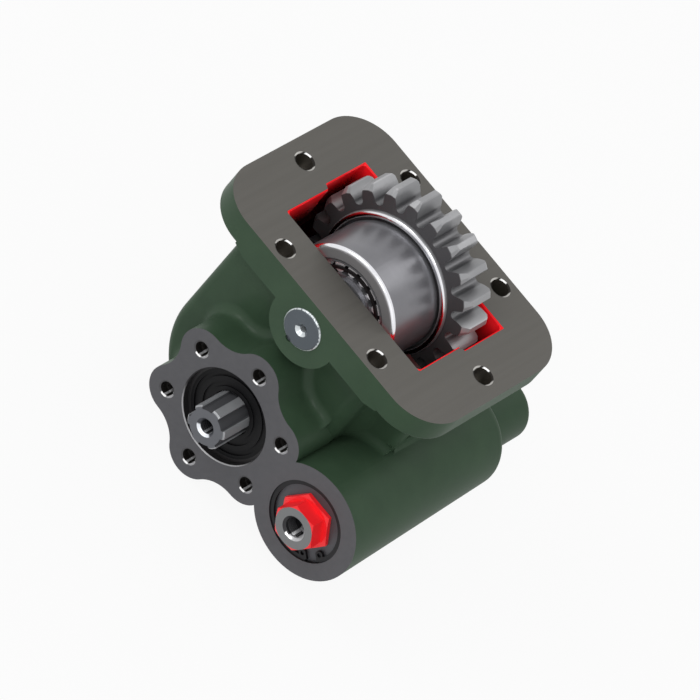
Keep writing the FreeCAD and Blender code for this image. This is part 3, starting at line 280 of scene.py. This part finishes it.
mottle = casting.noise(55.0, 4.0)
grain = casting.noise(1400.0, 2.0)
milling = casting.noise(300.0, 2.0, (1.0, 0.04, 1.0))
smooth = casting.noise(240.0, 2.0)
# Painted shade: the chamber's red darkens towards the bottom and on the shelf beside the front step.
shelf_painted_shade = casting.z.within(-16.0, -12.0) * casting.x.above(36.0) * casting.y.below(-19.0)
depth = casting.z.below(-14.0, 27.0).either(shelf_painted_shade)
colour = casting.mix((mottle - 0.35) * 1.6, green, green_light)
colour = casting.mix(chamber, colour, casting.mix(depth, red, red_painted_shade))
colour = casting.mix(top_face.either(window_chamfer), colour, casting.mix(milling, top_dark, top_light))
colour = casting.mix(front_faces, colour, casting.mix(smooth, front_dark, front_light))
colour = casting.mix(cylinder_bore, colour, srgb(70, 70, 72))
colour = casting.mix(pilot, colour, pilot_metal_and_highlight)
colour = casting.mix(pump_hole, colour, pump_metal_and_light)
colour = casting.mix(flange_hole, colour, flange_metal_and_light)
faces = top_face.either(front_faces).either(window_chamfer)
bores = pump_hole.either(pilot).either(cylinder_bore).either(flange_hole)
bare = faces.either(bores)
coated = (1 - bare) * casting.x.below(36.0, 30.0)
# Painted glow: the red near the top of the chamber is made to glow.
chamber_painted_glow = chamber * casting.z.above(-6.0, 12.0)
relief = grain * (1 - bare) * (1 - chamber) * 0.6 + mottle * (1 - bare) + milling * faces * 0.2
paint_rough = casting.blend(chamber, 0.44 + mottle * 0.12, 0.22)
casting.set(Base_Color=colour, Metallic=faces * 0.16 + bores * 0.7 * (1 - faces),
            Roughness=casting.blend(bare, paint_rough, 0.42 + milling * 0.10), Specular_IOR_Level=0.12,
            Coat_Weight=coated * 0.12, Coat_Roughness=0.18,
            Emission_Color=casting.mix(chamber_painted_glow, NO_GLOW, (0.10, 0.001, 0.002, 1)), Emission_Strength=1.0)
casting.bump(relief, 0.10, 0.5)
casting.dress("housing")


# The input gear is cut from one steel forging: 21 ground teeth behind a long polished drum, with a
# raised bead between them. It is bored for a roller bearing at each end. The sliding gear below it
# is of the same ground steel. Painted highlights lighten the bead, the drum's front rim, the tooth tips
# and the chamfer cones, and painted shade darkens the tooth roots.

gear = Finish("gear_steel_ground")
hub_r = gear.radius(idler)
drum = hub_r.below(36.9) * gear.y.below(9.8)
# Painted highlight: a bright band on the bead and on the drum's front rim.
bead = hub_r.within(38.3, 40.6, 0.4) * gear.y.within(4.0, 6.98)
rim = drum * hub_r.within(34.8, 36.3, 0.4) * gear.y.below(-32.2)
bright = bead.either(rim)
front = gear.y.within(6.9, 7.3) * (1 - bead)
drum_face = drum * gear.y.below(-34.0) * hub_r.below(34.8)
tooth = gear.y.above(7.3)
# Painted highlight on the tooth tips and chamfer cones, painted shade towards the roots.
tip_painted_highlight = tooth * hub_r.above(53.9, 0.3)
root_painted_shade = tooth * hub_r.below(47.4, 2.0)
cone_painted_highlight = (hub_r - gear.y * 0.667).within(46.9, 47.5, 0.1) * gear.y.within(7.02, 11.6)
lengthwise = gear.noise(900.0, 3.0, (1.0, 0.03, 1.0))
soft = gear.noise(70.0, 3.0)
rings = gear.turned_marks(idler)
flank_shade_and_highlight = gear.mix(soft, srgb(126, 127, 129), srgb(148, 148, 150))
flank_shade_and_highlight = gear.mix(root_painted_shade, flank_shade_and_highlight, srgb(104, 104, 106))
flank_shade_and_highlight = gear.mix(tip_painted_highlight.either(cone_painted_highlight), flank_shade_and_highlight, gear.mix(soft, srgb(136, 137, 139), srgb(164, 164, 166)))
steel = gear.mix(front, flank_shade_and_highlight, srgb(90, 89, 91))
polished = gear.mix(soft, srgb(108, 108, 112), srgb(132, 132, 136))
polished = gear.mix(drum_face, polished, srgb(150, 148, 150))
base = gear.mix(bright, gear.mix(drum, steel, polished), srgb(232, 232, 236))
metallic = gear.blend(drum, 0.55, 0.6)
rough = gear.blend(drum, 0.32 + lengthwise * 0.12, 0.27 + rings * 0.08)
gear.set(Base_Color=base, Metallic=gear.blend(bright, metallic, 1.0),
         Roughness=gear.blend(bright, rough, 0.14))
gear.bump(gear.blend(drum, lengthwise, rings), 0.012, 0.6)
gear.dress("input_gear", "sliding_gear")


# The idler shaft is a ground bar fixed in both bosses, with a drilled centre and a lock pin beside it.
# The chamfer round its end has painted highlight dashes, and the lower half of the drilled centre a
# painted glint.

def turned_steel(name, axis, dark, light, rough, marks=0.02, metallic=1.0):
    """A turned or ground steel with faint rings about its axis."""
    finish = Finish(name)
    rings = finish.turned_marks(axis)
    cloud = finish.noise(60.0, 3.0)
    finish.set(Base_Color=finish.mix(cloud, dark, light), Metallic=metallic, Roughness=rough + rings * 0.12)
    finish.bump(rings, marks, 0.6)
    return finish


shaft = Finish("idler_steel")
shaft_cloud = shaft.noise(60.0, 3.0)
# Painted highlight dashes round the chamfer and a painted glint on the lower half of the drilled centre.
shaft_edge_highlight = shaft.radius(idler).above(11.4, 0.2) * shaft.noise(900.0, 2.0).above(0.42, 0.2)
cone_below = (shaft.z - IDLER_Z).below(-0.6, 0.6)
centre_cone_glint = shaft.radius(idler).within(1.9, 4.0) * cone_below * shaft.y.above(-66.45)
shaft_face = shaft.mix(shaft_cloud, srgb(74, 81, 87), srgb(86, 93, 99))
shaft_colour = shaft.mix(shaft_edge_highlight.either(centre_cone_glint), shaft_face, srgb(212, 218, 220))
shaft.set(Base_Color=shaft_colour, Metallic=0.5, Roughness=0.34 + shaft_cloud * 0.1)
shaft.bump(shaft.turned_marks(idler), 0.02, 0.6)
shaft.dress("idler_shaft")
pin_steel = turned_steel("lock_pin_steel", idler, srgb(70, 76, 82), srgb(84, 90, 96), 0.36, metallic=0.5)
pin_steel.dress("idler_lock_pin")


# The roller bearings, one pressed into each end of the drum: hardened and ground rings, lapped bright
# rollers and a dark cage of pressed sheet. A spacer and two thrust washers keep them in place.

ring_steel = turned_steel("ring_steel_ground", idler, srgb(120, 120, 124), srgb(150, 150, 154), 0.18,
                          metallic=0.7)
ring_steel.dress("roller_inner_ring_front", "roller_inner_ring_rear", "roller_outer_ring_front",
                 "roller_outer_ring_rear", "inner_ring_spacer", "thrust_washer_front", "thrust_washer_rear")
roller_steel = turned_steel("roller_steel_lapped", idler, srgb(240, 236, 238), srgb(252, 248, 250), 0.12,
                            0.004, 0.4)
roller_steel.dress("rollers_front", "rollers_rear")
cage_steel = turned_steel("cage_steel_phosphated", idler, srgb(30, 26, 27), srgb(46, 42, 43), 0.40,
                          metallic=0.6)
cage_steel.dress("roller_cage_front", "roller_cage_rear")


# The output shaft is turned from one steel bar. Its six tooth pump spline stands out in front, with a
# tapped end, and a second spline inside carries the sliding gear. The pump spline's tooth tops are
# painted light as painted highlight, its roots dark as painted shade, and its tapped mouth dark as
# painted shade with a painted glint at the bottom.

spline = Finish("spline_steel")
strokes = spline.noise(1100.0, 3.0, (1.0, 0.03, 1.0))
cloud = spline.noise(80.0, 3.0)
spline_r = spline.radius(output)
spline_face = spline.y.below(SPLINE_FRONT_Y + 0.1)
# Painted highlight on the tooth tops, painted shade below them, and a painted glint in the dark,
# painted-shade mouth.
tooth = spline_r.above(11.7, 0.3)
mouth = spline_r.below(5.75) * spline.y.within(SPLINE_FRONT_Y + SKIN, -60.0)
mouth_glint = (spline.z - OUTPUT_Z).below(-2.4, 1.2) * spline_r.above(4.25)
lit_land_highlight = spline.mix(cloud, srgb(142, 144, 147), srgb(166, 168, 171))
spline_shade_and_highlight = spline.mix(tooth, srgb(86, 87, 90), lit_land_highlight)
spline_shade_and_highlight = spline.mix(spline_face, spline_shade_and_highlight, srgb(96, 98, 103))
spline_mouth_shade_glint = spline.mix(mouth_glint, srgb(58, 60, 66), srgb(240, 244, 250))
spline.set(Base_Color=spline.mix(mouth, spline_shade_and_highlight, spline_mouth_shade_glint), Metallic=0.35,
           Roughness=0.32 + strokes * 0.16)
spline.bump(strokes, 0.012, 0.6)
spline.dress("output_shaft")


# The output shaft runs in two shielded bearings that circlips hold. A moulded black rubber seal closes
# the pump side, and a green cover with four cap screws closes the rear.

bearing_steel = turned_steel("bearing_steel", output, srgb(130, 130, 134), srgb(156, 156, 160), 0.2)
bearing_steel.dress("output_inner_ring_front", "output_inner_ring_rear", "output_outer_ring_front",
                    "output_outer_ring_rear")
shield_steel = turned_steel("shield_steel", output, srgb(110, 108, 100), srgb(134, 131, 122), 0.3)
shield_steel.dress("bearing_shields_front", "bearing_shields_rear")
clip_steel = turned_steel("clip_steel", output, srgb(30, 30, 32), srgb(46, 46, 48), 0.32)
clip_steel.dress("bearing_circlip_front", "bearing_circlip_rear", "rear_cover_screws")


def rubber(name, axis):
    """Black oil seal rubber with moulded rings."""
    finish = Finish(name)
    rings = finish.turned_marks(axis, 0.8)
    finish.set(Base_Color=finish.mix(rings, srgb(7, 7, 9), srgb(14, 14, 16)), Metallic=0.0,
               Roughness=0.46 + rings * 0.2, Specular_IOR_Level=0.2)
    finish.bump(rings, 0.04, 0.6)
    return finish


rubber("seal_rubber_black", output).dress("shaft_seal")

cover = Finish("cover_paint_green")
patches = cover.noise(60.0, 4.0)
cover.set(Base_Color=cover.mix(patches, green, green_light), Roughness=0.42 + patches * 0.12,
          Specular_IOR_Level=0.34)
cover.bump(cover.noise(1400.0, 2.0), 0.05, 0.5)
cover.dress("rear_cover")


# The air shift sits inside the cylinder beside the shaft: an aluminium piston on a chromed rod, an iron
# fork clamped to the rod, and a return spring on a dark steel collar, with rubber seals.

turned_steel("piston_aluminium", cylinder, srgb(150, 150, 150), srgb(172, 172, 172), 0.3).dress("piston")
rod_steel = turned_steel("rod_steel_chromed", cylinder, srgb(170, 170, 174), srgb(190, 190, 194), 0.12)
rod_steel.dress("shift_rod")
fork_iron = turned_steel("fork_iron", cylinder, srgb(92, 88, 80), srgb(112, 107, 98), 0.45, 0.05)
fork_iron.dress("shift_fork")
shift_dark = turned_steel("shift_steel_dark", cylinder, srgb(24, 24, 26), srgb(38, 38, 40), 0.36,
                          metallic=0.6)
shift_dark.dress("piston_nut", "fork_screw", "spring_collar", "return_spring", "cap_circlip")
rubber("shift_seal_rubber", cylinder).dress("piston_seal", "rod_seal", "cap_seal")


# The cap end: a turned cap held by a circlip, and the red air fitting with its red lock nut.
# The fitting's front face and bore are bare metal. The bore's wall has painted shade on the left, a
# painted highlight on the right and a painted glint at the bottom of its chamfer, and the red paint has
# a faint painted glow.

cap_steel = turned_steel("cap_steel", cylinder, srgb(70, 72, 76), srgb(82, 84, 88), 0.38, metallic=0.4)
cap_steel.dress("cylinder_cap")
fitting = Finish("fitting_red")
bore_u = fitting.x - CYLINDER_X
bore_v = fitting.z - CYLINDER_Z
bore_r = length(bore_u, bore_v)
fitting_front = fitting.y.below(FITTING_FRONT_Y + 0.05)
mouth_side = bore_r.below(7.6) * fitting.y.below(-63.0)
worn = fitting_front.either(mouth_side).either(fitting.y.above(-64.6))
marks = fitting.turned_marks(cylinder)
cloud = fitting.noise(90.0, 3.0)
bore = bore_r.below(7.35) * fitting.y.within(FITTING_FRONT_Y + SKIN, -64.0)
# Dark for painted shade and light for painted highlight on the bore's wall.
inlet_shade_dark = srgb(46, 46, 48)
inlet_streak_light = srgb(190, 190, 192)
fitting_wall_shade_and_light = fitting.mix(bore_u.above(0.3, 0.5), inlet_shade_dark, inlet_streak_light)
fitting_glint = bore_r.above(6.4) * bore_v.below(-4.9, 0.8) * bore_u.within(-2.0, 2.8, 0.8)
fitting_wall_shade_and_light = fitting.mix(fitting_glint, fitting_wall_shade_and_light, srgb(250, 250, 250))
fitting_paint = fitting.mix(cloud, srgb(238, 26, 34), srgb(250, 34, 42))
fitting_metal_and_light = fitting.mix(bore, srgb(120, 121, 122), fitting_wall_shade_and_light)
# Painted glow: the red paint glows faintly.
fitting.set(Base_Color=fitting.mix(worn, fitting_paint, fitting_metal_and_light), Metallic=worn * 0.5,
            Roughness=fitting.blend(worn, 0.32 + cloud * 0.08, 0.36),
            Emission_Color=fitting.mix(worn, (0.05, 0.001, 0.001, 1), NO_GLOW), Emission_Strength=1.0)
fitting.bump(fitting.blend(worn, cloud, marks), 0.02, 0.4)
fitting.dress("air_fitting", "fitting_nut")


# Cut threads: a fine ridge winds up the wall of each tapped hole, six in the pump flange, one in the
# shaft's end and one in the air fitting. The drilled walls are part of the pieces themselves. The
# threads carry the same painted shade and highlight streaks as the walls.

def thread(name, axis, hole_r, ridge, pitch, front_y, run, finish):
    """A thread's ridge inside a hole, standing off the drilled wall by a hair."""
    bpy.ops.object.select_all(action="DESELECT")
    bpy.ops.mesh.primitive_circle_add(vertices=3, radius=ridge * MM, location=(0, 0, 0))
    coil = bpy.context.object
    coil.name = name
    coil.data.name = name
    foot_r = hole_r - SKIN
    corners = ((foot_r, -pitch * 0.46), (foot_r, pitch * 0.46), (hole_r - ridge, 0.0))
    for vertex, (radius, along) in zip(coil.data.vertices, corners):
        vertex.co = Vector((radius * MM, along * MM, 0))
    screw = coil.modifiers.new("turns", "SCREW")
    screw.axis = "Y"
    screw.screw_offset = pitch * MM
    screw.iterations = int(run / pitch)
    screw.steps = screw.render_steps = 28
    bpy.ops.object.modifier_apply(modifier=screw.name)
    bpy.ops.object.mode_set(mode="EDIT")
    bpy.ops.mesh.select_all(action="SELECT")
    bpy.ops.mesh.remove_doubles(threshold=0.000001)
    bpy.ops.mesh.fill_holes(sides=3)
    bpy.ops.mesh.select_all(action="SELECT")
    bpy.ops.mesh.normals_make_consistent(inside=False)
    bpy.ops.object.mode_set(mode="OBJECT")
    coil.data.transform(Matrix.Translation(Vector((axis[0], front_y, axis[1])) * MM))
    bpy.ops.object.shade_smooth_by_angle(angle=math.radians(40))
    coil.data.materials.append(finish.material)
    return coil


def cut_steel(finish, across, up, radius, dark, light):
    """Cut metal of a thread, with the same painted shade and highlight streaks as the wall behind it."""
    cut_marks = finish.noise(1200.0, 2.0)
    finish.set(Base_Color=painted_hole_light(finish, across, up, radius, dark, light), Metallic=0.5,
               Roughness=0.32 + cut_marks * 0.14)


pump_steel = Finish("pump_thread_steel")
cut_steel(pump_steel, *pump_hole_place(pump_steel), TAP_R, dark_steel_and_shade, painted_streak_light)
for k in range(6):
    angle = math.radians(30 + 60 * k)
    place = (PUMP_CIRCLE_R * math.cos(angle), OUTPUT_Z + PUMP_CIRCLE_R * math.sin(angle))
    coil = thread("pump_thread_%d" % (k + 1), place, TAP_R, 0.3, 1.25, -62.0, 13.0, pump_steel)
    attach(coil, "unit")
shaft_steel = Finish("shaft_thread_steel")
# Dark for painted shade and light for painted highlight streaks on the shaft end's thread.
cut_steel(shaft_steel, shaft_steel.x, shaft_steel.z - OUTPUT_Z, TAP_R, srgb(40, 41, 44),
          srgb(150, 152, 156))
coil = thread("shaft_end_thread", output, TAP_R, 0.4, 1.5, -80.6, 16.0, shaft_steel)
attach(coil, "output")
inlet_steel = Finish("inlet_thread_steel")
cut_steel(inlet_steel, inlet_steel.x - CYLINDER_X, inlet_steel.z - CYLINDER_Z, INLET_R, inlet_shade_dark,
          inlet_streak_light)
coil = thread("air_inlet_thread", cylinder, INLET_R, 0.4, 1.3, -73.8, 6.5, inlet_steel)
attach(coil, "unit")


# A plain pale floor under the unit that keeps its shadow, four soft studio lamps at a plain level,
# a white surround, and the camera at the photograph's angle.

bpy.ops.mesh.primitive_plane_add(size=12.0, location=(0, 0, -0.1525))
floor = bpy.context.object
floor.name = "studio_floor"
floor_paint = Finish("studio_white")
floor_paint.set(Base_Color=(0.62, 0.62, 0.62, 1.0), Roughness=0.9)
rays = floor_paint.node("ShaderNodeLightPath", {}, {}).socket.node.outputs
seen = Wire(floor_paint, rays["Is Camera Ray"]).either(Wire(floor_paint, rays["Is Glossy Ray"]))
seen = seen.either(Wire(floor_paint, rays["Is Transmission Ray"]))
white = floor_paint.node("ShaderNodeEmission", {}, {"Color": (1, 1, 1, 1), "Strength": 1.0})
lit = Wire(floor_paint, floor_paint.shader.outputs[0])
both = floor_paint.node("ShaderNodeMixShader", {}, {0: seen * 0.92, 1: lit, 2: white})
surface = next(n for n in floor_paint.tree.nodes if n.type == "OUTPUT_MATERIAL")
floor_paint.tree.links.new(both.socket, surface.inputs["Surface"])
floor.data.materials.append(floor_paint.material)

world = bpy.data.worlds.new("studio")
bpy.context.scene.world = world
world.use_nodes = True
nodes = world.node_tree.nodes
links = world.node_tree.links
sky = next(n for n in nodes if n.type == "BACKGROUND")
path = nodes.new("ShaderNodeLightPath")
glossy = nodes.new("ShaderNodeMath")
glossy.operation = "MAXIMUM"
links.new(path.outputs["Is Camera Ray"], glossy.inputs[0])
links.new(path.outputs["Is Glossy Ray"], glossy.inputs[1])
level = nodes.new("ShaderNodeMapRange")
level.inputs["To Min"].default_value = 0.74
level.inputs["To Max"].default_value = 1.0
links.new(glossy.outputs[0], level.inputs["Value"])
links.new(level.outputs[0], sky.inputs["Strength"])
sky.inputs["Color"].default_value = (1, 1, 1, 1)


def lamp(name, place, target, size, power):
    """A square soft box that looks at a point."""
    light = bpy.data.lights.new(name, "AREA")
    light.shape = "SQUARE"
    light.size = size
    light.energy = power
    holder = bpy.data.objects.new(name, light)
    bpy.context.collection.objects.link(holder)
    holder.location = place
    holder.rotation_euler = (Vector(target) - Vector(place)).to_track_quat("-Z", "Y").to_euler()


centre = (0.0, 0.0, -0.06)
lamp("key", (-1.0, -0.9, 1.2), centre, 0.8, 7.0)
lamp("fill", (1.4, -1.2, 0.9), centre, 1.2, 1.0)
lamp("back", (0.2, 1.5, 1.0), centre, 0.8, 3.5)
lamp("front", (0.33, -1.35, 1.35), centre, 0.5, 5.0)

camera_data = bpy.data.cameras.new("camera")
camera = bpy.data.objects.new("camera", camera_data)
bpy.context.collection.objects.link(camera)
camera_data.sensor_width = 36.0
camera_data.lens = 401.777
camera_data.clip_start = 0.1
camera_data.clip_end = 50.0
right = Vector((0.62984, 0.59937, 0.49402))
up = Vector((-0.76021, 0.34522, 0.55037))
back = Vector((0.15933, -0.72220, 0.67308))
camera.matrix_world = Matrix((
    (right.x, up.x, back.x, 0.67512),
    (right.y, up.y, back.y, -3.00587),
    (right.z, up.z, back.z, 2.73939),
    (0, 0, 0, 1)))
bpy.context.scene.camera = camera
bpy.context.scene.view_settings.view_transform = "Standard"
